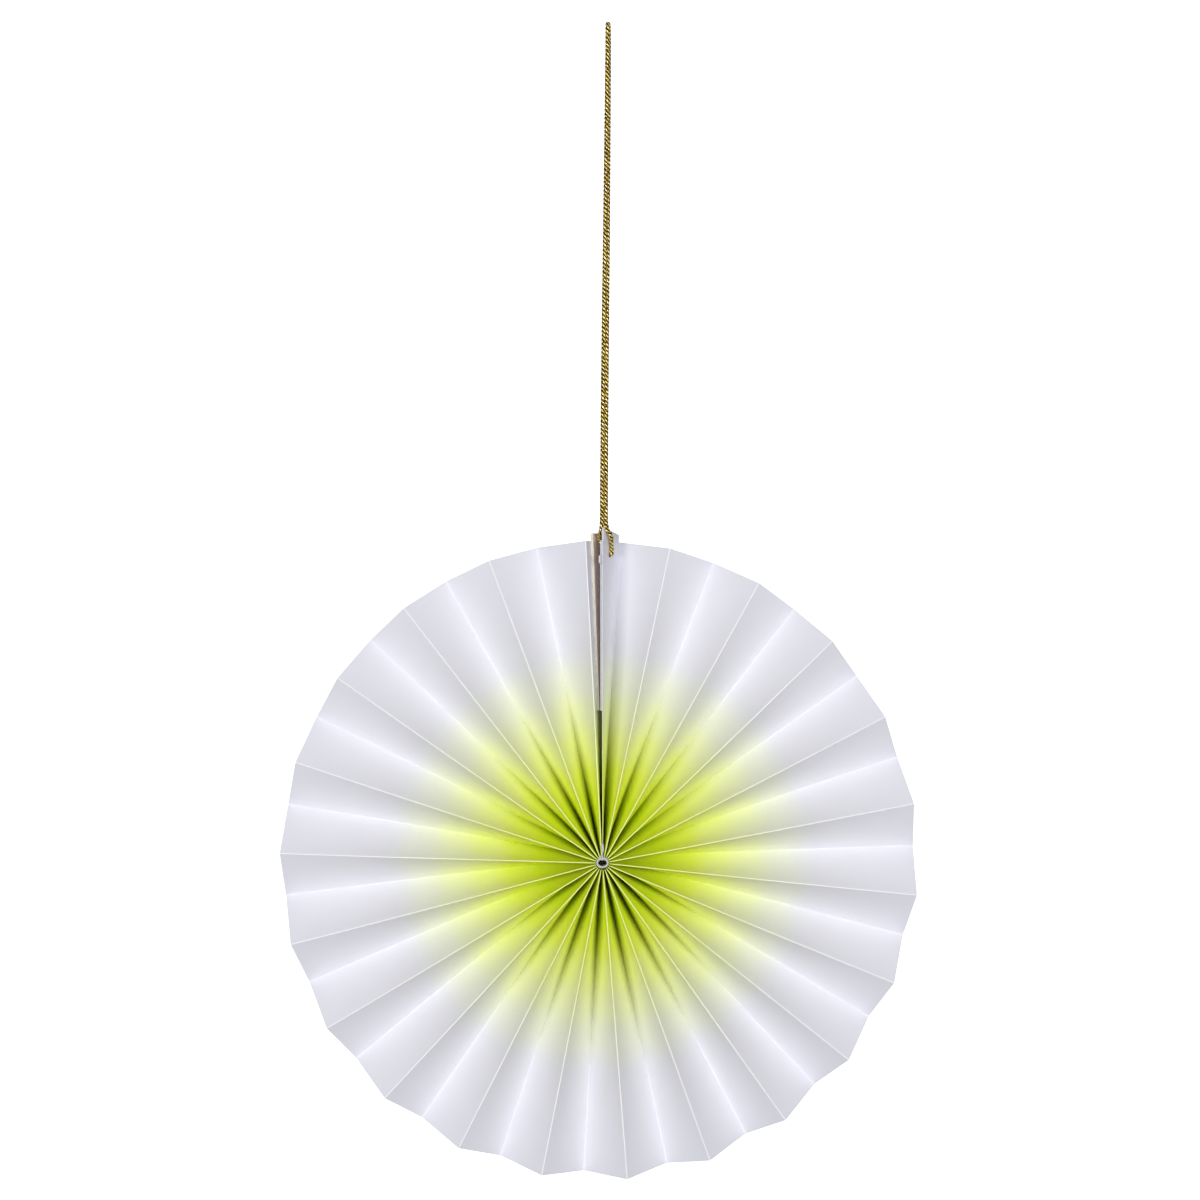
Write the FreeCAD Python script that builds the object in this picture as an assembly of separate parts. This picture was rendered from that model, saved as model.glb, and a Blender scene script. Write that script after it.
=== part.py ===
import FreeCAD, Part
import math
import os

# Paper fan rosette, opened to a full circle and hung from a gold cord. Millimetres.
# It is built round the middle of the rosette, front towards -Y and up +Z, and moved at the
# end so that the origin is at the inside top of the hanging loop.

vec = FreeCAD.Vector

# The pleated sheet
fan_radius = 100.0        # middle of the rosette to the tips of the folds
pleat_width = 18.5        # one panel, from a front fold to the back fold beside it
front_folds = 22          # front folds between the two free edges
paper = 0.22              # thickness of the sheet
hub_radius = 2.1          # pinched inner ends, from the axis of the hub
hub_right = 0.55          # the hub sits a little right of the middle of the rim
hub_down = 0.5            # and a little below it
hub_clearance = 0.06      # air between the two end panels where they are tied

# How the folds lie round the circle, in degrees clockwise from the top
seam_middle = -0.2
seam_turn = 6.1           # from the last front fold to the first back fold, across the seam
end_panel_turn = 3.6      # what each end panel spans at the rim
sag_turn = 3.33           # the folds stand wider at the top than at the bottom
sag_phase = 10.0
uneven_turn = 0.31        # unevenness of folding by hand, three waves round the circle
uneven_phase = 42.0

# Where the sheet is divided between hub (0) and rim (1)
stations = (0.0, 0.04, 0.1, 0.2, 0.46, 0.73, 1.0)

# The two stiff cards in the seam
glue = 0.05               # glue line between a card and its panel
left_card = 0.9           # thicknesses
right_card = 0.5
card_foot = 0.46          # inner ends of both cards, as a share of the way to the rim
left_card_front = 0.25    # front and back edges of the cards, as shares of the panel
left_card_back = 0.9
right_card_back = 0.8
tab_front = 0.09          # the right card above the rim
tab_back = 0.92
left_card_above = 2.4     # heights above the rim
tab_above_front = 4.3
tab_above_back = 2.3
tooth_below_rim = 4.6     # top of the small tooth on the right card's front edge
tooth_height = 2.7
tooth_proud = 0.09        # how far the tooth stands forward, as a share of the panel

# The tying thread
thread = 0.8              # diameter
thread_clearance = 0.1    # to the inner ends of the pleats
ring_behind_front = 0.6   # a thread ring's middle from the front or the back of the hub
knot_radius = 0.6
knot_behind_front = 0.1
tail_radius = 0.3
tail_length = 4.3         # the thread's tail lies up the seam
tail_below_ends = 0.2     # its foot is this far below the tops of the pinched ends
tail_gap = 0.05           # to the front edges it lies on

# The cord and its hole
cord = 1.25               # diameter
hole_clearance = 0.2      # on the radius
hole_below_rim = 4.4
hole_across = 0.41        # from the front edge, as a share of the panel
half_apart = 0.68         # half the distance between the two strands' middles
pair_foot = vec(1.3, -5.6, 105.9)     # middle of the pair where the strands part
pair_head = vec(2.22, -4.2, 253.5)    # middle of the pair below the eye
pair_points = 4           # over which the pair makes a quarter turn
eye_radius = 2.0          # of the cord's middle line
eye_throat = 5.1          # height over which the eye opens

last_fold = 2 * front_folds + 1
hub = vec(hub_right, 0, -hub_down)


def turned(angle, radius):
    """A point in the plane of the rim, at an angle clockwise from the top."""
    t = math.radians(angle)
    return vec(radius * math.sin(t), 0, radius * math.cos(t))


def rim_angle(fold):
    """Fold 0 is the free front edge right of the seam, odd folds lie at the back, even ones
    at the front, and the last one is the free back edge left of the seam."""
    if fold == 0:
        return rim_angle(1) - end_panel_turn
    if fold == last_fold:
        return rim_angle(last_fold - 1) + end_panel_turn
    step = (360.0 - seam_turn) / (last_fold - 2)
    u = seam_middle + seam_turn / 2 + (fold - 1) * step
    sag = sag_turn * math.sin(math.radians(u + sag_phase))
    uneven = uneven_turn * math.sin(math.radians(3 * u + uneven_phase))
    return u + sag + uneven


def hub_angle(fold):
    """The inner ends are packed evenly, with the two end panels one layer apart."""
    seam = math.degrees((paper + hub_clearance) / hub_radius)
    step = (360.0 - seam) / (last_fold - 1)
    return seam_middle + (seam - step) / 2 + fold * step


def fold_line(fold, share):
    """Where a fold lies, seen from the front, at a share of the way from hub to rim."""
    inner = hub + turned(hub_angle(fold), hub_radius)
    outer = turned(rim_angle(fold), fan_radius)
    return inner + (outer - inner) * share


def gap_beside(fold, share):
    """Mean distance, seen from the front, from a fold to the folds beside it."""
    beside = [f for f in (fold - 1, fold + 1) if 0 <= f <= last_fold]
    here = fold_line(fold, share)
    return sum((fold_line(f, share) - here).Length for f in beside) / len(beside)


def sheet_corner(fold, share, at_back):
    """A corner of the sheet's front or back face on a fold. The panels keep their width, so
    the pleats grow shallower as they open. The layer's depth at the fold is what gives the
    panels their thickness, up to where they lie pressed together at the hub."""
    wide = gap_beside(fold, share)
    deep = math.sqrt(pleat_width ** 2 - wide ** 2)
    slant = wide * math.sqrt(pleat_width ** 2 - paper ** 2) - paper * deep
    layer = paper * slant / (wide ** 2 - paper ** 2)
    p = fold_line(fold, share)
    if fold % 2:
        p.y = deep / 2 - (0 if at_back else layer)
    else:
        p.y = -deep / 2 + (layer if at_back else 0)
    return p


corners = {}
for f in range(last_fold + 1):
    for k, share in enumerate(stations):
        for at_back in (False, True):
            corners[f, k, at_back] = sheet_corner(f, share, at_back)


def plane_face(*points):
    return Part.Face(Part.makePolygon(list(points) + [points[0]]))


def ruled_face(a, b, c, d):
    """The face between the lines a-b and d-c."""
    return Part.makeRuledSurface(Part.makeLine(a, b), Part.makeLine(d, c))


def closed_solid(faces):
    shell = Part.makeShell(faces)
    shell.sewShape()
    solid = Part.makeSolid(shell)
    if solid.Volume < 0:
        solid.reverse()
    return solid


def pleated_sheet():
    faces = []
    rim = len(stations) - 1
    for f in range(last_fold):
        for k in range(rim):
            for at_back in (False, True):
                faces.append(ruled_face(corners[f, k, at_back], corners[f, k + 1, at_back],
                                        corners[f + 1, k + 1, at_back], corners[f + 1, k, at_back]))
        for k in (0, rim):
            faces.append(plane_face(corners[f, k, False], corners[f + 1, k, False],
                                    corners[f + 1, k, True], corners[f, k, True]))
    for f in (0, last_fold):
        for k in range(rim):
            faces.append(plane_face(corners[f, k, False], corners[f, k + 1, False],
                                    corners[f, k + 1, True], corners[f, k, True]))
    return closed_solid(faces)


def on_panel(panel, share, across, at_back):
    """A point on a panel's face, across it from its first fold (0) to the next (1). Past the
    rim the face is carried on straight."""
    k = max(i for i in range(len(stations) - 1) if stations[i] <= share or i == 0)
    t = (share - stations[k]) / (stations[k + 1] - stations[k])
    sides = []
    for f in (panel, panel + 1):
        inner, outer = corners[f, k, at_back], corners[f, k + 1, at_back]
        sides.append(inner + (outer - inner) * t)
    return sides[0] + (sides[1] - sides[0]) * across


def facing(panel, share):
    """Unit vector out of a panel's front face."""
    across = on_panel(panel, share, 1, False) - on_panel(panel, share, 0, False)
    along = on_panel(panel, share + 0.01, 0.5, False) - on_panel(panel, share, 0.5, False)
    n = across.cross(along)
    return n.normalize()


def share_at(above_rim):
    """The share of the way from hub to rim that lies a distance above the rim."""
    return 1 + above_rim / (fan_radius - hub_radius)


def board(panel, at_back, thickness, outline):
    """A piece of card of four corners, (share, across), glued to a panel's face."""
    side = -1 if at_back else 1
    near, far = [], []
    for share, across in outline:
        p = on_panel(panel, share, across, at_back)
        n = facing(panel, share) * side
        near.append(p + n * glue)
        far.append(p + n * (glue + thickness))
    faces = [ruled_face(*near), ruled_face(*far)]
    for i in range(4):
        j = (i + 1) % 4
        faces.append(ruled_face(near[i], near[j], far[j], far[i]))
    return closed_solid(faces)


def card(panel, at_back, thickness, outlines):
    boards = [board(panel, at_back, thickness, o) for o in outlines]
    return boards[0].fuse(boards[1:]).removeSplitter()


def strip(start, end, front, back):
    return [(start, front), (end, front), (end, back), (start, back)]


def left_end_card():
    middle = stations[-2]
    front, back = left_card_front, left_card_back
    top = share_at(left_card_above)
    return card(last_fold - 1, False, left_card, [
        strip(card_foot, middle, front, back),
        strip(middle, top, front, back)])


def right_end_card():
    middle = stations[-2]
    tooth_top = share_at(-tooth_below_rim)
    tooth_foot = share_at(-tooth_below_rim - tooth_height)
    back = right_card_back
    tab = [(1, tab_front), (share_at(tab_above_front), tab_front),
           (share_at(tab_above_back), tab_back), (1, tab_back)]
    return card(0, True, right_card, [
        strip(card_foot, middle, 0, back),
        strip(middle, tooth_foot, 0, back),
        strip(tooth_foot, tooth_top, -tooth_proud, back),
        strip(tooth_top, 1, 0, back),
        tab])


# The hole runs through the right end panel and the card glued behind it
hole_share = share_at(-hole_below_rim)
hole_way = facing(0, hole_share)
hole_mouth = on_panel(0, hole_share, hole_across, False)
wall = paper + glue + right_card
hole_middle = hole_mouth - hole_way * (wall / 2)


def cord_hole():
    reach = wall / 2 + 0.4
    return Part.makeCylinder(cord / 2 + hole_clearance, 2 * reach,
                             hole_middle - hole_way * reach, hole_way)


def binding_thread():
    """Two rings inside the pinched ends, front and back, joined by a straight run of thread
    at the top, with a knot on the front one and a short tail up the seam."""
    front = -pleat_width / 2
    ring_radius = hub_radius - thread_clearance - thread / 2
    ring_y = front + ring_behind_front
    up, back = vec(0, 0, 1), vec(0, 1, 0)
    rings = [Part.makeTorus(ring_radius, thread / 2, hub + vec(0, y, 0), back)
             for y in (ring_y, -ring_y)]
    run = Part.makeCylinder(thread / 2, -2 * ring_y, hub + vec(0, ring_y, ring_radius), back)
    tail_y = front - tail_gap - tail_radius
    knot_up = hub_radius - thread_clearance / 2 - knot_radius
    knot = Part.makeSphere(knot_radius, hub + vec(0, front + knot_behind_front, knot_up))
    foot = hub + vec(0, tail_y, hub_radius - tail_below_ends)
    tail = Part.makeCylinder(tail_radius, tail_length, foot, up)
    tip = Part.makeSphere(tail_radius, foot + up * tail_length)
    return rings[0].fuse([rings[1], run, knot, tail, tip]).removeSplitter()


def cord_route():
    """The cord's middle line: out of the hole into the gap between the cards, up, through the
    eye at the top, down, and round into the hole from the front."""
    end_gap, straight, bend = 0.1, 0.9, 0.6
    up = vec(0, 0, 1)

    def at_hole(way):
        first = hole_middle + way * end_gap
        second = hole_middle + way * straight
        third = second + (way + up) * bend
        return [first, second, third, third + up * 2.2 - way * 0.08]

    behind = at_hole(-hole_way) + [vec(-0.42, -3.75, 101.9)]
    before = at_hole(hole_way) + [vec(3.3, -4.9, 101.9)]

    def strand(side):
        points = []
        for i in range(pair_points):
            t = i / (pair_points - 1)
            a = math.pi / 2 * t
            apart = vec(math.cos(a), math.sin(a), 0) * (half_apart * side)
            points.append(pair_foot + (pair_head - pair_foot) * t + apart)
        return points

    eye = []
    corner = eye_radius * math.tan(math.pi / 8)
    middle = pair_head + up * (eye_throat + eye_radius / 2 + corner / 2)
    for y, z in ((eye_radius, -eye_radius / 2), (eye_radius, corner), (corner, eye_radius)):
        eye.append((y, z))
    left_eye = [middle + vec(0, -y, z) for y, z in eye]
    right_eye = [middle + vec(0, y, z) for y, z in reversed(eye)]
    return (behind + strand(-1) + left_eye + right_eye
            + list(reversed(strand(1))) + list(reversed(before)))


def tube(points, diameter):
    """A round tube along straight runs joined by tangent arcs, and its length."""
    edges = []
    radii = []
    start = points[0]
    for before, here, after in zip(points, points[1:], points[2:]):
        run_in, run_out = here - before, after - here
        short = min(run_in.Length, run_out.Length)
        turn = run_in.getAngle(run_out)
        back = 0.45 * short
        radii.append(back / math.tan(turn / 2))
        a = here - run_in * (back / run_in.Length)
        b = here + run_out * (back / run_out.Length)
        half = (a + b) * 0.5
        to_corner = here - half
        centre = here - to_corner * (radii[-1] / math.cos(turn / 2) / to_corner.Length)
        middle = centre + (here - centre) * (radii[-1] / (here - centre).Length)
        edges.append(Part.LineSegment(start, a).toShape())
        edges.append(Part.Arc(a, middle, b).toShape())
        start = b
    edges.append(Part.LineSegment(start, points[-1]).toShape())
    path = Part.Wire(edges)
    ring = Part.Wire([Part.makeCircle(diameter / 2, points[0], points[1] - points[0])])
    solid = path.makePipeShell([ring], True, False)
    print("cord radii", " ".join("%.1f" % r for r in radii))
    return solid, path.Length


route = cord_route()
hanging_cord, cord_length = tube(route, cord)
section = math.pi * (cord / 2) ** 2
print("cord length %.2f, volume %.3f, section times length %.3f"
      % (cord_length, hanging_cord.Volume, section * cord_length))

hole = cord_hole()
nodes = {
    "pleated_paper": pleated_sheet().cut(hole),
    "left_end_card": left_end_card(),
    "right_end_card": right_end_card().cut(hole),
    "binding_thread": binding_thread(),
    "hanging_cord": hanging_cord,
}

# The origin is at the inside top of the loop
loop_top = max(p.z for p in route) - cord / 2
hang_point = vec(pair_head.x, pair_head.y, loop_top)
print("middle of the rosette from the origin", -hang_point)

os.makedirs("parts", exist_ok=True)
for name, shape in nodes.items():
    if shape.ShapeType == "Compound" and len(shape.Solids) == 1:
        shape = shape.Solids[0]
    shape.translate(-hang_point)
    print(name, shape.ShapeType, "solids", len(shape.Solids), "faces", len(shape.Faces),
          "valid", shape.isValid(), "volume %.2f" % shape.Volume)
    shape.exportStep("parts/%s.step" % name)
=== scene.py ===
import bpy
import math
import numpy as np
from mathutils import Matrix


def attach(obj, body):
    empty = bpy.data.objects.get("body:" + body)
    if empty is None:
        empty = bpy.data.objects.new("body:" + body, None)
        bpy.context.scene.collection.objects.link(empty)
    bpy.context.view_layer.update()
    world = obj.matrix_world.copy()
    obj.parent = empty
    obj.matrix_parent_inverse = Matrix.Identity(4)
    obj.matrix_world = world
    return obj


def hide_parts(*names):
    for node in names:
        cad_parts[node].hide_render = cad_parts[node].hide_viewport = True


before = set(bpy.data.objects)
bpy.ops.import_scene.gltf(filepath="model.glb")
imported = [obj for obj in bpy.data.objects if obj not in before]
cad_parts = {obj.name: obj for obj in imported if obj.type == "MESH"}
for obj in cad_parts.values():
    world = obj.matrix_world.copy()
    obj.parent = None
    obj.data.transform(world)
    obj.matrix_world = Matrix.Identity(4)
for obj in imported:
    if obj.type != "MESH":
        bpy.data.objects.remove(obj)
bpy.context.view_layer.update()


# The pleated sheet
# One strip of thin paper, dyed lime along one edge. It is folded into even pleats, pinched
# along the dyed edge and opened to a full circle, so its two free edges meet at the top.
fan_radius = 0.100
pleat_width = 0.0185
front_folds = 22
paper_thickness = 0.00022
hub_radius = 0.0021
hub_clearance = 0.00006
fan_middle = np.array([-0.00222, 0.0042, -0.261389])
hub_middle = fan_middle + [0.00055, 0.0, -0.0005]
last_fold = 2 * front_folds + 1

seam_middle = -0.2
seam_turn = 6.1
end_panel_turn = 3.6
sag_turn, sag_phase = 3.33, 10.0
uneven_turn, uneven_phase = 0.31, 42.0

paper_rows = 40
crest_radius = 0.0002
crest_share_most = 0.3
valley_ease, valley_ease_least = 0.012, 0.0005
paper_bow, bow_step, bow_phase = 0.00012, 2.4, 0.7
drawn_in, drawn_in_from, drawn_in_fade = 0.0005, 0.05, 0.02
seam_lean, lean_reach, lean_fade = 0.85, 0.3, 0.17
panel_gap_growth = 0.0040
crest_columns = np.array([0, 0.5, 0.85])
open_columns = np.array([0, 0.012, 0.1, 0.22, 0.36, 0.5, 0.64, 0.76, 0.86, 0.93, 0.98, 1])


def clockwise(degrees, radius):
    """Points on a circle facing the viewer: right by the sine, up by the cosine."""
    t = np.radians(degrees)
    return np.stack([radius * np.sin(t), 0 * t, radius * np.cos(t)], axis=-1)


def fold_angles():
    """Angles of every fold at the hub and at the rim. At the hub they step evenly. At the rim
    an even step is stretched by one slow wave, as the fan sags open at the top, and by a
    small wave of three to the circle, as hand folding leaves it. The two end panels stand
    steeper than the rest."""
    fold = np.arange(last_fold + 1)
    seam = np.degrees((paper_thickness + hub_clearance) / hub_radius)
    step = (360 - seam) / (last_fold - 1)
    at_hub = seam_middle + (seam - step) / 2 + fold * step
    u = seam_middle + seam_turn / 2 + (fold - 1) * (360 - seam_turn) / (last_fold - 2)
    sag = sag_turn * np.sin(np.radians(u + sag_phase))
    uneven = uneven_turn * np.sin(np.radians(3 * u + uneven_phase))
    at_rim = u + sag + uneven
    at_rim[0] = at_rim[1] - end_panel_turn
    at_rim[-1] = at_rim[-2] + end_panel_turn
    return at_hub, at_rim


hub_angles, rim_angles = fold_angles()
fold_inner = hub_middle + clockwise(hub_angles, hub_radius)
fold_outer = fan_middle + clockwise(rim_angles, fan_radius)
panel_outward = (fold_outer - fold_inner)[:-1] + (fold_outer - fold_inner)[1:]
panel_outward /= np.linalg.norm(panel_outward, axis=1, keepdims=True)


def fold_lines(share):
    """Every fold at each share of the way from hub to rim: its straight line seen from the
    front, how deep the pleat is there and how deep the layer of paper is. A panel keeps its
    width, so depth and spread are the two short sides of a right-angled triangle."""
    line = fold_inner + (fold_outer - fold_inner) * share[:, None, None]
    gap = np.linalg.norm(np.diff(line, axis=1), axis=2)
    wide = np.empty(line.shape[:2])
    wide[:, 0], wide[:, -1] = gap[:, 0], gap[:, -1]
    wide[:, 1:-1] = (gap[:, 1:] + gap[:, :-1]) / 2
    deep = np.sqrt(pleat_width ** 2 - wide ** 2)
    slant = wide * np.sqrt(pleat_width ** 2 - paper_thickness ** 2) - paper_thickness * deep
    layer = paper_thickness * slant / (wide ** 2 - paper_thickness ** 2)
    return line, deep, layer


def panel_ends(share, side):
    """Where each panel's front and back folds lie on one face of the sheet. Side is -1 on the
    front face and 1 behind."""
    line, deep, layer = fold_lines(share)
    panel = np.arange(last_fold)
    at_front = panel + panel % 2
    at_back = panel + 1 - panel % 2
    front_end, back_end = line[:, at_front].copy(), line[:, at_back].copy()
    front_end[..., 1] -= deep[:, at_front] / 2 - (layer[:, at_front] if side > 0 else 0)
    back_end[..., 1] += deep[:, at_back] / 2 - (layer[:, at_back] if side < 0 else 0)
    return front_end, back_end


def sheet_face(share, side):
    """Points of one face of the sheet, and a mark for crests. Each panel slopes evenly between
    its folds and bows by half a sine wave. A crest is an arc of a small circle that runs on
    into both slopes, and a valley is eased by a parabola that grows towards the rim. The cut
    edge at the hub is drawn in by the thread between its folds, and near the hub the free
    back edge of the last panel leans over to the right, by the square of its depth. The mark
    is 1 along the top of a crest and falls to 0 just past its arc."""
    front_end, back_end = panel_ends(share, side)
    front_end, back_end = front_end[:, :, None], back_end[:, :, None]
    across = back_end - front_end
    rise = across[..., 1]
    wide = np.hypot(across[..., 0], across[..., 2])
    slant = np.hypot(wide, rise)
    half = np.minimum(crest_radius * rise / slant, crest_share_most * wide)
    c = half / wide
    x = np.concatenate([c * crest_columns, c + (1 - 2 * c) * open_columns,
                        1 - c * crest_columns[::-1]], axis=2)

    from_crest = x if side < 0 else 1 - x
    flat = np.minimum(from_crest * wide, half)
    cap = crest_radius - np.sqrt(crest_radius ** 2 - flat ** 2)
    full = crest_radius - np.sqrt(crest_radius ** 2 - half ** 2)
    drop = cap + np.clip(from_crest - c, 0, 1) / (1 - c) * (rise - full)
    panel = np.arange(last_fold)
    ease = valley_ease * share[:, None] ** 1.5 * (panel < last_fold - 1) + valley_ease_least
    ease = ease[..., None]
    eased = rise * ease / 2 * np.clip(1 - (1 - x) / ease, 0, 1) ** 2
    waver = np.sin(bow_step * panel + bow_phase)
    waver[[0, -1]] = 0
    bow = paper_bow * waver[:, None] * np.sin(np.pi * x) * (share ** 2)[:, None, None]
    start = front_end[..., 1] if side < 0 else back_end[..., 1]
    points = front_end + across * x[..., None]
    points[..., 1] = start - side * drop - eased + bow
    deep = drop / rise if side < 0 else 1 - drop / rise
    from_folds = np.minimum(deep[0], 1 - deep[0])
    points[0] -= panel_outward[:, None] * drawn_in * np.clip(
        (from_folds - drawn_in_from) / drawn_in_fade, 0, 1)[..., None]
    lean = seam_lean * (hub_clearance + panel_gap_growth * share)
    lean *= np.clip((lean_reach - share) / lean_fade, 0, 1)
    points[:, -1, :, 0] += lean[:, None] * np.clip(deep[:, -1] * 2 - 1, 0, 1) ** 2
    crest = np.clip(2.2 - 2 * from_crest / c, 0, 1)

    odd = panel % 2 == 1
    points[:, odd] = points[:, odd, ::-1]
    crest[:, odd] = crest[:, odd, ::-1]
    rows = len(share)
    points = np.concatenate([points[:, :, :-1].reshape(rows, -1, 3), points[:, -1, -1:]], axis=1)
    crest = np.concatenate([crest[:, :, :-1].reshape(rows, -1), crest[:, -1, -1:]], axis=1)
    return points, crest


def placed(name, data):
    made = bpy.data.objects.new(name, data)
    bpy.context.scene.collection.objects.link(made)
    return made


def closed_slab(name, front, back, marks=None):
    """A mesh from two grids of points, one for each face, joined round their edges. The faces
    take the first material and the cut edges the second. Marks are numbers kept on points."""
    rows, columns = front.shape[:2]
    count = rows * columns
    index = np.arange(count).reshape(rows, columns)
    behind = index + count

    def cells(grid, flip):
        quads = np.stack([grid[:-1, :-1], grid[:-1, 1:], grid[1:, 1:], grid[1:, :-1]], axis=-1)
        quads = quads.reshape(-1, 4)
        return quads[:, ::-1] if flip else quads

    def strip(a, b, flip):
        quads = np.stack([a[:-1], a[1:], b[1:], b[:-1]], axis=-1)
        return quads[:, ::-1] if flip else quads

    sheets = np.concatenate([cells(index, False), cells(behind, True)])
    edges = np.concatenate([
        strip(index[0], behind[0], True), strip(index[-1], behind[-1], False),
        strip(index[:, 0], behind[:, 0], False), strip(index[:, -1], behind[:, -1], True)])
    faces = np.concatenate([sheets, edges])
    points = np.concatenate([front.reshape(-1, 3), back.reshape(-1, 3)])
    mesh = bpy.data.meshes.new(name)
    mesh.from_pydata(points.tolist(), [], faces.tolist())
    for key, values in (marks or {}).items():
        values = np.concatenate([v.ravel() for v in values]).astype(np.float32)
        mesh.attributes.new(key, "FLOAT", "POINT").data.foreach_set("value", values)
    mesh.polygons.foreach_set("use_smooth", np.ones(len(faces), bool))
    on_edge = (np.arange(len(faces)) >= len(sheets)).astype(np.int32)
    mesh.polygons.foreach_set("material_index", on_edge)
    mesh.set_sharp_from_angle(angle=math.radians(40))
    mesh.update()
    return placed(name, mesh)


def fresh_material(name, roughness, specular=0.5, metallic=0.0):
    material = bpy.data.materials.new(name)
    material.use_nodes = True
    shader = material.node_tree.nodes["Principled BSDF"]
    shader.inputs["Roughness"].default_value = roughness
    shader.inputs["Specular IOR Level"].default_value = specular
    shader.inputs["Metallic"].default_value = metallic
    return material, material.node_tree.nodes, material.node_tree.links, shader


def added(nodes, kind, inputs=None, **settings):
    """A new node with some settings and input values."""
    made = nodes.new(kind)
    for key, value in settings.items():
        setattr(made, key, value)
    for key, value in (inputs or {}).items():
        made.inputs[key].default_value = value
    return made


def colour_ramp(nodes, stops, interpolation="LINEAR"):
    """A colour ramp node with (position, colour) stops."""
    ramp = added(nodes, "ShaderNodeValToRGB")
    ramp.color_ramp.interpolation = interpolation
    elements = ramp.color_ramp.elements
    elements.remove(elements[-1])
    elements[0].position = stops[0][0]
    elements[0].color = (*stops[0][1], 1)
    for position, colour in stops[1:]:
        elements.new(position).color = (*colour, 1)
    return ramp


def noise(nodes, links, place, scale, detail):
    made = added(nodes, "ShaderNodeTexNoise", {"Scale": scale, "Detail": detail})
    links.new(place, made.inputs["Vector"])
    return made.outputs["Fac"]


def add_bump(nodes, links, shader, height, strength, distance):
    bump = added(nodes, "ShaderNodeBump", {"Strength": strength, "Distance": distance})
    links.new(height, bump.inputs["Height"])
    links.new(bump.outputs["Normal"], shader.inputs["Normal"])


def dyed_paper():
    """Matt paper. The dye runs from lime at the hub through pale yellow to a cool white. The
    crests are painted pale, partly as rubbed wear and partly as a painted highlight along each
    crest;
    the sheet is faintly mottled and has a fine tooth."""
    material, nodes, links, shader = fresh_material("dyed_paper", 0.62, 0.3)
    place = added(nodes, "ShaderNodeTexCoord").outputs["Object"]
    crest = added(nodes, "ShaderNodeAttribute", attribute_name="crest").outputs["Fac"]

    from_hub = added(nodes, "ShaderNodeVectorMath", {1: hub_middle.tolist()},
                     operation="SUBTRACT")
    links.new(place, from_hub.inputs[0])
    flat = added(nodes, "ShaderNodeVectorMath", {1: (1, 0, 1)}, operation="MULTIPLY")
    links.new(from_hub.outputs[0], flat.inputs[0])
    far = added(nodes, "ShaderNodeVectorMath", operation="LENGTH")
    links.new(flat.outputs[0], far.inputs[0])
    mottle = noise(nodes, links, place, 70, 3)
    wander = added(nodes, "ShaderNodeMath", {1: 0.006}, operation="MULTIPLY_ADD")
    links.new(mottle, wander.inputs[0])
    links.new(far.outputs["Value"], wander.inputs[2])
    reach = added(nodes, "ShaderNodeMapRange", {"From Min": 0.003, "From Max": 0.103})
    links.new(wander.outputs[0], reach.inputs["Value"])
    reach = reach.outputs["Result"]

    dye = colour_ramp(nodes, [
        (0.0, (0.78, 0.87, 0.018)), (0.18, (0.83, 0.93, 0.04)), (0.26, (0.86, 0.93, 0.15)),
        (0.36, (0.87, 0.92, 0.40)), (0.46, (0.85, 0.88, 0.59)), (0.56, (0.82, 0.84, 0.73)),
        (0.68, (0.79, 0.79, 0.83)), (1.0, (0.775, 0.775, 0.84))], "EASE")
    # Paler colours for the crest tops: partly rubbed wear, partly a painted highlight where each
    # crest catches the light.
    crest_wear_and_painted_highlight = colour_ramp(nodes, [
        (0.0, (0.80, 0.88, 0.25)), (0.35, (0.84, 0.92, 0.42)), (0.6, (0.92, 0.94, 0.84)),
        (0.8, (0.95, 0.95, 0.97))], "EASE")
    links.new(reach, dye.inputs["Fac"])
    links.new(reach, crest_wear_and_painted_highlight.inputs["Fac"])
    colour = added(nodes, "ShaderNodeMix", data_type="RGBA")
    # The crest mark blends in the paler crest colours, which paints a highlight along each crest.
    links.new(crest, colour.inputs["Factor"])
    links.new(dye.outputs["Color"], colour.inputs["A"])
    links.new(crest_wear_and_painted_highlight.outputs["Color"], colour.inputs["B"])
    links.new(colour.outputs["Result"], shader.inputs["Base Color"])
    add_bump(nodes, links, shader, noise(nodes, links, place, 2600, 3), 0.12, 0.00006)
    return material


def pleated_paper():
    """The whole sheet as one closed slab."""
    share = np.linspace(0, 1, paper_rows) ** 1.2
    front, crest_front = sheet_face(share, -1)
    back, crest_back = sheet_face(share, 1)
    return closed_slab("pleated_paper_sheet", front, back, {"crest": (crest_front, crest_back)})


paper_sheet = pleated_paper()
paper_material = dyed_paper()
paper_sheet.data.materials.append(paper_material)
paper_sheet.data.materials.append(paper_material)
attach(paper_sheet, "root")
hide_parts("pleated_paper")


# The stiff end cards
# Two die-cut strips of grey board are glued to the end panels, facing each other across the
# seam. The right one is faced white and has a tab above the rim and a tooth on its front. Each
# corner row is a share of the way from hub to rim, and two edges as shares of the panel.
glue_line = 0.00005
left_card_thickness = 0.0009
right_card_thickness = 0.0005
left_card_edges = [(0.46, 0.25, 0.9), (1.0, 0.25, 0.9), (1.0245, 0.25, 0.9)]
right_card_edges = [
    (0.46, 0.0, 0.8), (0.9254, 0.0, 0.8), (0.9268, -0.07, 0.8), (0.9290, -0.09, 0.8),
    (0.9500, -0.09, 0.8), (0.9520, -0.07, 0.8), (0.9530, 0.0, 0.8), (0.9996, 0.0, 0.8),
    (1.0004, 0.09, 0.92), (1.0215, 0.09, 0.92), (1.0240, 0.09, 0.88), (1.0405, 0.09, 0.23),
    (1.0432, 0.11, 0.13)]


def on_panel(panel, share, across, side):
    """Points of one even panel, from its front fold (0) to its back fold (1), on one face."""
    front_end, back_end = panel_ends(share.ravel(), side)
    first, second = front_end[:, panel], back_end[:, panel]
    points = first + (second - first) * across.reshape(-1, 1)
    return points.reshape(*share.shape, 3)


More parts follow.
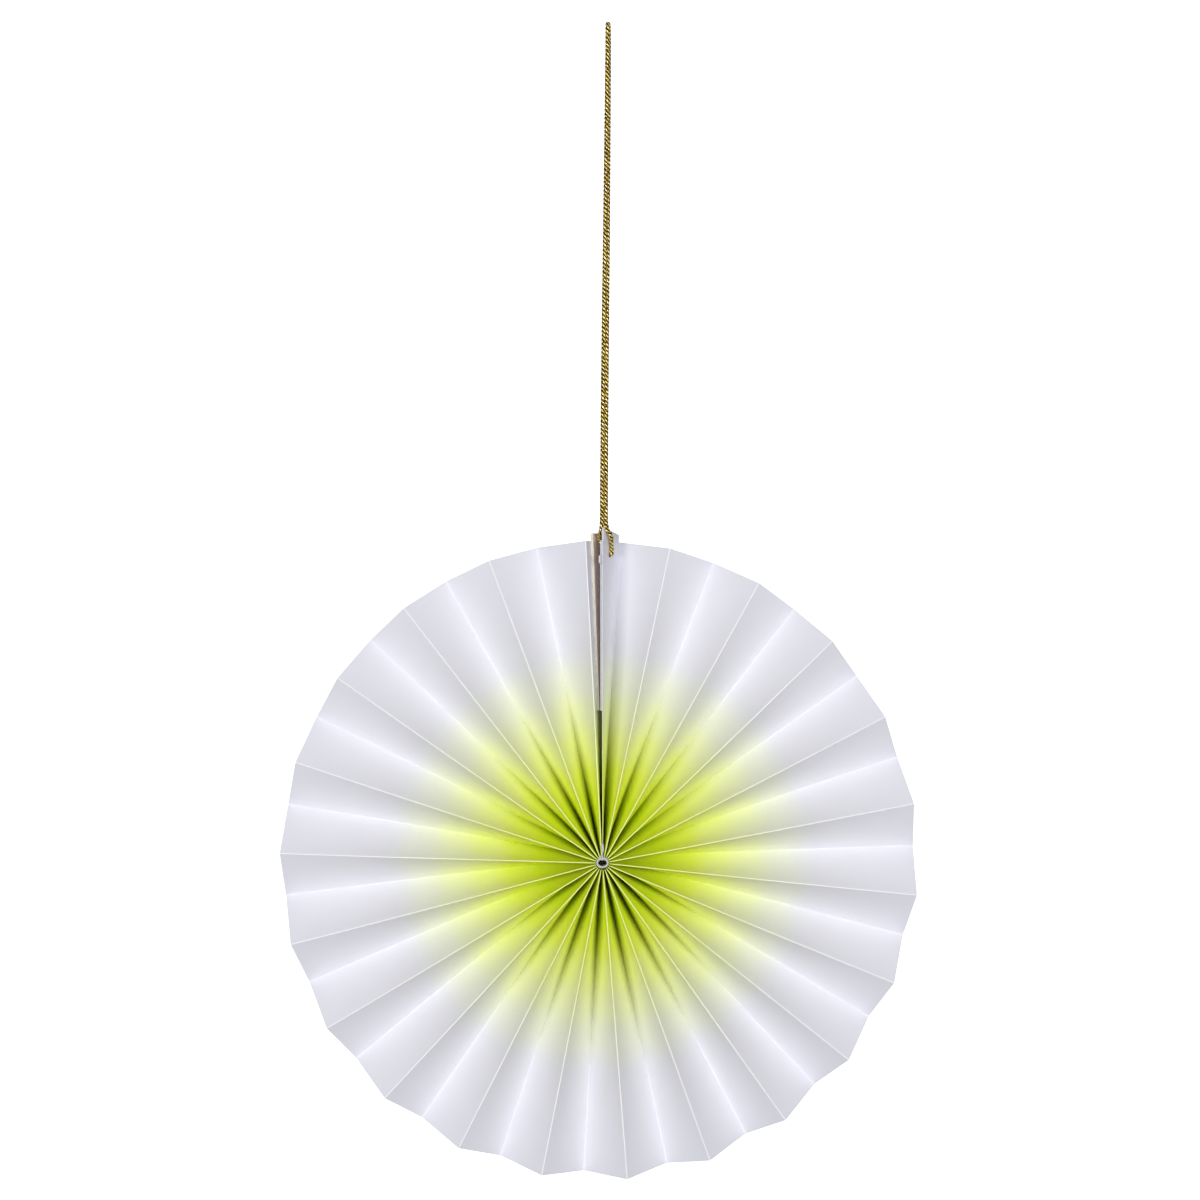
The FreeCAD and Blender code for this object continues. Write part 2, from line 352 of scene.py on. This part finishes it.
def board(name, panel, side, thickness, edges):
    """A card on a panel: a grid between its front and back edges, which are lines between the
    given corners, lifted from the panel along its normal by the glue and by the thickness."""
    edges = np.array(edges)
    share = np.union1d(np.linspace(edges[0, 0], edges[-1, 0], 30), edges[:, 0])
    front = np.interp(share, edges[:, 0], edges[:, 1])
    back = np.interp(share, edges[:, 0], edges[:, 2])
    across = front[:, None] + (back - front)[:, None] * np.linspace(0, 1, 9)
    share = np.repeat(share[:, None], 9, axis=1)
    step = 0.001
    rightward = (on_panel(panel, share, across + step, side)
                 - on_panel(panel, share, across - step, side))
    outward = (on_panel(panel, share + step, across, side)
               - on_panel(panel, share - step, across, side))
    normal = np.cross(rightward, outward)
    normal *= -side / np.linalg.norm(normal, axis=2, keepdims=True)
    face = on_panel(panel, share, across, side)
    near = face + normal * glue_line
    far = near + normal * thickness
    return closed_slab(name, *((far, near) if side < 0 else (near, far)))


def card_face(name, pale, dark):
    """Smooth board, slightly clouded, with a fine grain across it."""
    material, nodes, links, shader = fresh_material(name, 0.7, 0.3)
    place = added(nodes, "ShaderNodeTexCoord").outputs["Object"]
    tone = colour_ramp(nodes, [(0.35, dark), (0.65, pale)])
    links.new(noise(nodes, links, place, 400, 4), tone.inputs["Fac"])
    links.new(tone.outputs["Color"], shader.inputs["Base Color"])
    add_bump(nodes, links, shader, noise(nodes, links, place, 3000, 2), 0.15, 0.00005)
    return material


def cut_board(name, pale, dark):
    """The cut edge of board, with darker fibres in streaks along it."""
    material, nodes, links, shader = fresh_material(name, 0.85, 0.2)
    place = added(nodes, "ShaderNodeTexCoord").outputs["Object"]
    stretch = added(nodes, "ShaderNodeMapping", {"Scale": (9000, 9000, 700)})
    links.new(place, stretch.inputs["Vector"])
    fibre = noise(nodes, links, stretch.outputs["Vector"], 1, 3)
    tone = colour_ramp(nodes, [(0.3, dark), (0.7, pale)])
    links.new(fibre, tone.inputs["Fac"])
    links.new(tone.outputs["Color"], shader.inputs["Base Color"])
    add_bump(nodes, links, shader, fibre, 0.3, 0.00006)
    return material


left_card = board("left_end_board", last_fold - 1, -1, left_card_thickness, left_card_edges)
left_card.data.materials.append(card_face("grey_board", (0.93, 0.78, 0.68), (0.80, 0.66, 0.57)))
left_card.data.materials.append(cut_board("cream_edge", (0.90, 0.87, 0.79), (0.62, 0.56, 0.47)))
right_card = board("right_end_board", 0, 1, right_card_thickness, right_card_edges)
right_card.data.materials.append(card_face("white_board", (0.82, 0.82, 0.88), (0.77, 0.77, 0.83)))
right_card.data.materials.append(cut_board("white_edge", (0.72, 0.72, 0.78), (0.62, 0.62, 0.68)))
for piece, name in ((left_card, "left_end_card"), (right_card, "right_end_card")):
    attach(piece, "root")
    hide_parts(name)


# The cord's hole
# A round hole is punched through the right end panel and its card, just inside the rim, after
# the card is glued on.
hole_radius = 0.000825
hole_middle = (0.000291, 0.002157, -0.165888)
hole_way = (0.93566, -0.35161, -0.03021)
punch_length = 0.003
punch_sides = 32


def punch():
    """A plain rod along the hole, as the tool for cutting it."""
    along = np.array(hole_way)
    side = np.cross(along, (0, 0, 1))
    side /= np.linalg.norm(side)
    up = np.cross(side, along)
    t = np.linspace(0, 2 * math.pi, punch_sides, endpoint=False)[:, None]
    circle = hole_radius * (np.cos(t) * side + np.sin(t) * up)
    ends = [hole_middle - along * punch_length / 2 + circle,
            hole_middle + along * punch_length / 2 + circle]
    i = np.arange(punch_sides)
    j = np.roll(i, -1)
    walls = np.stack([i, j, j + punch_sides, i + punch_sides], axis=1).tolist()
    mesh = bpy.data.meshes.new("punch")
    mesh.from_pydata(np.concatenate(ends).tolist(), [],
                     walls + [i[::-1].tolist(), (i + punch_sides).tolist()])
    return placed("punch", mesh)


punch_rod = punch()
for piece in (paper_sheet, right_card):
    cut = piece.modifiers.new("hole", "BOOLEAN")
    cut.operation = "DIFFERENCE"
    cut.object = punch_rod
    cut.solver = "EXACT"
    graph = bpy.context.evaluated_depsgraph_get()
    punched = bpy.data.meshes.new_from_object(piece.evaluated_get(graph))
    piece.modifiers.clear()
    whole = piece.data
    piece.data = punched
    bpy.data.meshes.remove(whole)
bpy.data.objects.remove(punch_rod)


# The hanging cord
# One length of gold metallic cord, laid from three plies, each wrapped with narrow foil. It
# runs out of the hole in the right end panel, up, round an eye at the top, and back down.
strand_width = 0.00155
cord_plies = 3
cord_pitch = 0.0040
cord_never_along = (-0.38, -0.92, 0.0)
cord_route = [
    (0.000197, 0.002192, -0.165885), (-0.000551, 0.002474, -0.165861),
    (-0.001113, 0.002685, -0.165243), (-0.001400, 0.002700, -0.162800),
    (-0.002900, 0.001500, -0.160000), (-0.001700, -0.001400, -0.158200),
    (-0.001700, -0.001400, -0.148000), (-0.001350, -0.001273, -0.106289),
    (-0.000647, -0.001056, -0.057089), (0.000000, -0.000680, -0.007889),
    (0.000000, -0.002000, -0.002375), (0.000000, -0.002000, -0.000547),
    (0.000080, -0.000828, 0.000480), (0.000380, 0.000828, 0.000480),
    (0.000450, 0.002000, -0.000547), (0.000450, 0.002000, -0.002375),
    (0.000450, 0.000680, -0.007889), (0.000200, 0.000122, -0.057089),
    (-0.000300, -0.000593, -0.106289), (-0.000550, -0.001250, -0.148000),
    (-0.000550, -0.001250, -0.158000), (0.001300, -0.000700, -0.159700),
    (0.001340, 0.001750, -0.163131), (0.001340, 0.001740, -0.165500),
    (0.001133, 0.001841, -0.165915), (0.000385, 0.002122, -0.165891)]


def smooth_line(name, route):
    """The line of a smooth NURBS spline that has the route's points as its control points."""
    curve = bpy.data.curves.new(name, "CURVE")
    curve.dimensions = "3D"
    curve.resolution_u = 24
    spline = curve.splines.new("NURBS")
    spline.points.add(len(route) - 1)
    spline.points.foreach_set("co", np.insert(np.array(route), 3, 1, axis=1).ravel())
    spline.order_u = 3
    spline.use_endpoint_u = True
    holder = placed(name, curve)
    graph = bpy.context.evaluated_depsgraph_get()
    line_mesh = bpy.data.meshes.new_from_object(holder.evaluated_get(graph))
    line = np.empty(len(line_mesh.vertices) * 3)
    line_mesh.vertices.foreach_get("co", line)
    bpy.data.objects.remove(holder)
    bpy.data.curves.remove(curve)
    bpy.data.meshes.remove(line_mesh)
    return line.reshape(-1, 3)


def unit(v):
    return v / np.linalg.norm(v, axis=-1, keepdims=True)


def laid_plies(name, line, plies, radius, pitch, reference, steps_per_turn=12, sides=8):
    """Plies laid round a line like a rope's. Each ply's middle is a helix round the line, and
    the ply is a circle swept along it. The plies touch, and the whole is as thick as twice the
    radius, a number or one for each point of the line. Reference is a direction that the line
    never runs along. Kept on each point: the cosine and sine of its place round its ply, and
    its distance along the line, with a step between plies so that no two look the same."""
    gone = np.concatenate([[0], np.cumsum(np.linalg.norm(np.diff(line, axis=0), axis=1))])
    steps = int(gone[-1] / pitch * steps_per_turn) + 1
    s = np.linspace(0, gone[-1], steps)
    middle = np.stack([np.interp(s, gone, line[:, i]) for i in range(3)], axis=1)
    width = np.interp(s, gone, np.broadcast_to(radius, gone.shape))
    along = unit(np.gradient(middle, s, axis=0))
    side = unit(np.cross(along, reference))
    up = np.cross(side, along)
    thick = width / (1 + 1 / math.sin(math.pi / plies))
    turn = 2 * math.pi * (s / pitch + np.arange(plies)[:, None] / plies)
    out = np.cos(turn)[..., None] * side + np.sin(turn)[..., None] * up
    helix = middle + out * (width - thick)[:, None]
    run = unit(np.gradient(helix, axis=1))
    out = unit(out - run * np.sum(out * run, axis=2, keepdims=True))
    beside = np.cross(run, out)
    round_ply = np.linspace(0, 2 * math.pi, sides, endpoint=False)[:, None]
    ring = np.cos(round_ply) * out[:, :, None] + np.sin(round_ply) * beside[:, :, None]
    points = helix[:, :, None] + ring * thick[:, None, None]

    index = np.arange(plies * steps * sides).reshape(plies, steps, sides)
    after = np.roll(index, -1, axis=2)
    quads = np.stack([index[:, :-1], after[:, :-1], after[:, 1:], index[:, 1:]], axis=-1)
    faces = quads.reshape(-1, 4).tolist()
    faces += index[:, 0, ::-1].tolist() + index[:, -1].tolist()
    mesh = bpy.data.meshes.new(name)
    mesh.from_pydata(points.reshape(-1, 3).tolist(), [], faces)
    lay = np.empty(points.shape, np.float32)
    lay[..., 0] = np.cos(round_ply[:, 0])
    lay[..., 1] = np.sin(round_ply[:, 0])
    lay[..., 2] = s[:, None] + 0.01 * np.arange(plies)[:, None, None]
    mesh.attributes.new("lay", "FLOAT_VECTOR", "POINT").data.foreach_set("vector", lay.ravel())
    mesh.polygons.foreach_set("use_smooth", np.ones(len(faces), bool))
    mesh.update()
    return placed(name, mesh)


def gold_foil():
    """Narrow metallic foil wrapped round each ply, in slanting flecks of painted highlight and
    painted
    shade: pale yellow painted glints, gold, and dark brown painted shade, with painted shade
    darkening each ply's flanks down between the plies."""
    material, nodes, links, shader = fresh_material("gold_foil", 0.32, 0.4, 0.45)
    lay = added(nodes, "ShaderNodeAttribute", attribute_name="lay").outputs["Vector"]
    stretch = added(nodes, "ShaderNodeMapping", {"Scale": (1.1, 1.1, 2100)})
    links.new(lay, stretch.inputs["Vector"])
    glint = noise(nodes, links, stretch.outputs["Vector"], 1, 2)
    # Painted highlights and painted shade in slanting flecks: dark brown shade through gold to
    # pale yellow glints, standing in for the light that the foil turns catch.
    tone = colour_ramp(nodes, [
        (0.39, (0.05, 0.016, 0.001)), (0.445, (0.43, 0.20, 0.010)), (0.49, (0.94, 0.60, 0.05)),
        (0.535, (1.0, 0.86, 0.18)), (0.595, (1.0, 0.96, 0.60))])
    links.new(glint, tone.inputs["Fac"])
    # Painted shade: the flanks of each ply that face in between the plies are darkened towards
    # near black.
    parts = added(nodes, "ShaderNodeSeparateXYZ")
    links.new(lay, parts.inputs[0])
    outward = added(nodes, "ShaderNodeMapRange", {"From Min": 0.3, "From Max": 0.85})
    links.new(parts.outputs["X"], outward.inputs["Value"])
    painted_ply_gap_shade = added(nodes, "ShaderNodeMix", data_type="RGBA")
    painted_ply_gap_shade.inputs["A"].default_value = (0.045, 0.014, 0.001, 1)
    links.new(outward.outputs["Result"], painted_ply_gap_shade.inputs["Factor"])
    links.new(tone.outputs["Color"], painted_ply_gap_shade.inputs["B"])
    links.new(painted_ply_gap_shade.outputs["Result"], shader.inputs["Base Color"])
    add_bump(nodes, links, shader, glint, 0.9, 0.00012)
    return material


cord_line = smooth_line("cord_line", cord_route)
cord_piece = laid_plies("gold_cord", cord_line, cord_plies, strand_width / 2, cord_pitch,
                        cord_never_along)
cord_piece.data.materials.append(gold_foil())
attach(cord_piece, "root")
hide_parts("hanging_cord")


# The tying thread
# White cotton thread is drawn up into a ring round the front of the hub, runs back through it
# and is wound into a flat coil behind. Its cut tail lies up the seam, a little untwisted.
thread_pitch = 0.0017
thread_radius = 0.00038
ring_half_width = 0.00165
ring_half_height = 0.00127
ring_forward = -0.00865
ring_top_rise = 0.0002
ring_top_swell = 0.00012
coil_thread_radius = 0.00042
coil_turns = 2.7
coil_inner_radius = 0.0004
coil_outer_radius = 0.00245
tail_plies = 4
tail_pitch = 0.0021
tail_steps_per_turn = 24
depthwise = (0.0, 1.0, 0.0)
upward = (0.0, 0.0, 1.0)


def spun_cotton():
    """Soft off-white yarn with fine fibres along each ply."""
    material, nodes, links, shader = fresh_material("spun_cotton", 0.9, 0.2)
    place = added(nodes, "ShaderNodeTexCoord").outputs["Object"]
    fibre = noise(nodes, links, place, 5200, 3)
    tone = colour_ramp(nodes, [(0.3, (0.32, 0.32, 0.32)), (0.7, (0.80, 0.80, 0.80))])
    links.new(fibre, tone.inputs["Fac"])
    links.new(tone.outputs["Color"], shader.inputs["Base Color"])
    add_bump(nodes, links, shader, fibre, 0.6, 0.0001)
    return material


round_ring = np.radians(np.linspace(4, 356, 120))
to_top = np.clip(np.cos(round_ring), 0, 1)
front_ring_line = hub_middle + np.stack([
    ring_half_width * np.sin(round_ring), 0 * round_ring + ring_forward,
    ring_half_height * np.cos(round_ring) + ring_top_rise * to_top], axis=1)
front_ring_width = thread_radius + ring_top_swell * to_top ** 2
coil_line = hub_middle + [0, -ring_forward, 0] + clockwise(
    np.linspace(0, 360 * coil_turns, 240),
    np.linspace(coil_inner_radius, coil_outer_radius, 240))
along_hub = np.linspace(ring_forward, -ring_forward, 40)
run_line = hub_middle + np.stack([
    0 * along_hub, along_hub, 0 * along_hub + ring_half_height], axis=1)
thread_pieces = [
    laid_plies("thread_ring", front_ring_line, 3, front_ring_width, thread_pitch, depthwise),
    laid_plies("thread_coil_behind", coil_line, 3, coil_thread_radius, thread_pitch, depthwise),
    laid_plies("thread_run", run_line, 3, thread_radius, thread_pitch, upward)]

tail_height = np.linspace(0.00095, 0.0063, 60)
tail_width = np.interp(
    tail_height, [0.00095, 0.0014, 0.0020, 0.0025, 0.0031, 0.0036, 0.0044, 0.0052, 0.0059, 0.0063],
    [0.00046, 0.00040, 0.00026, 0.00014, 0.00016, 0.00036, 0.00050, 0.00046, 0.00030, 0.00010])
tail_depth = np.interp(tail_height, [0.0009, 0.0020, 0.0028], [-0.00905, -0.0093, -0.00938])
tail_line = hub_middle + np.stack([0 * tail_height, tail_depth, tail_height], axis=1)
thread_pieces.append(
    laid_plies("thread_tail", tail_line, tail_plies, tail_width, tail_pitch, depthwise,
               tail_steps_per_turn))

cotton = spun_cotton()
for piece in thread_pieces:
    piece.data.materials.append(cotton)
    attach(piece, "root")
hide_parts("binding_thread")


# The room and the camera
# A pale floor sweeps up into a pale wall, and two broad soft lamps stand left and right of the
# camera, which looks level at the fan from a little to its left.
floor_level = -0.75
floor_front = -0.3
wall_behind = 1.3
sweep_radius = 0.5
room_half_width = 3.0


def sweep():
    """A floor carried back into a quarter circle and up into a wall."""
    turn = np.linspace(0, math.pi / 2, 24)
    y = np.concatenate([[floor_front], wall_behind - sweep_radius + sweep_radius * np.sin(turn),
                        [wall_behind]])
    z = np.concatenate([[floor_level], floor_level + sweep_radius * (1 - np.cos(turn)), [2.0]])
    left = np.stack([np.full_like(y, -room_half_width), y, z], axis=1)
    right = left * [-1, 1, 1]
    points = np.stack([left, right], axis=1).reshape(-1, 3)
    a = np.arange(len(y) - 1) * 2
    faces = np.stack([a, a + 1, a + 3, a + 2], axis=1)
    mesh = bpy.data.meshes.new("pale_sweep")
    mesh.from_pydata(points.tolist(), [], faces.tolist())
    mesh.polygons.foreach_set("use_smooth", np.ones(len(faces), bool))
    return placed("pale_sweep", mesh)


stage_sweep = sweep()
stage_paint, _, _, stage_shader = fresh_material("pale_paint", 0.9, 0.1)
stage_shader.inputs["Base Color"].default_value = (0.9, 0.9, 0.9, 1)
stage_shader.inputs["Emission Color"].default_value = (1, 1, 1, 1)
stage_shader.inputs["Emission Strength"].default_value = 1.0
stage_sweep.visible_diffuse = False
stage_sweep.visible_glossy = False
stage_sweep.data.materials.append(stage_paint)

camera_turn = math.radians(-1.5)
camera_distance = 0.718
camera_above = 0.0814
camera_data = bpy.data.cameras.new("camera")
camera_data.sensor_width = 36
camera_data.lens = 68.34
camera_data.clip_start = 0.01
camera = placed("camera", camera_data)
camera.location = (fan_middle[0] + camera_distance * math.sin(camera_turn),
                   fan_middle[1] - camera_distance * math.cos(camera_turn),
                   fan_middle[2] + camera_above)
camera.rotation_euler = (math.pi / 2, 0, camera_turn)
bpy.context.scene.camera = camera


def lamp(name, turn_from_front, height, distance, wide, tall, power):
    """A soft rectangular lamp on a circle round the fan, turned to face it."""
    data = bpy.data.lights.new(name, "AREA")
    data.shape = "RECTANGLE"
    data.size, data.size_y = wide, tall
    data.energy = power
    made = placed(name, data)
    turn = math.radians(turn_from_front)
    place = fan_middle + [distance * math.sin(turn), -distance * math.cos(turn), height]
    made.location = place
    way = fan_middle - place
    made.rotation_euler = (math.acos(-way[2] / np.linalg.norm(way)), 0,
                           math.atan2(way[1], way[0]) - math.pi / 2)
    return made


lamp("left_lamp", -24, 0.07, 1.5, 0.60, 0.22, 10.6)
lamp("right_lamp", 19, 0.16, 1.5, 0.60, 0.24, 11.4)

world = bpy.data.worlds.new("world")
world.use_nodes = True
world.node_tree.nodes["Background"].inputs["Color"].default_value = (1, 1, 1, 1)
world.node_tree.nodes["Background"].inputs["Strength"].default_value = 0.18
bpy.context.scene.world = world
bpy.context.scene.view_settings.view_transform = "Standard"
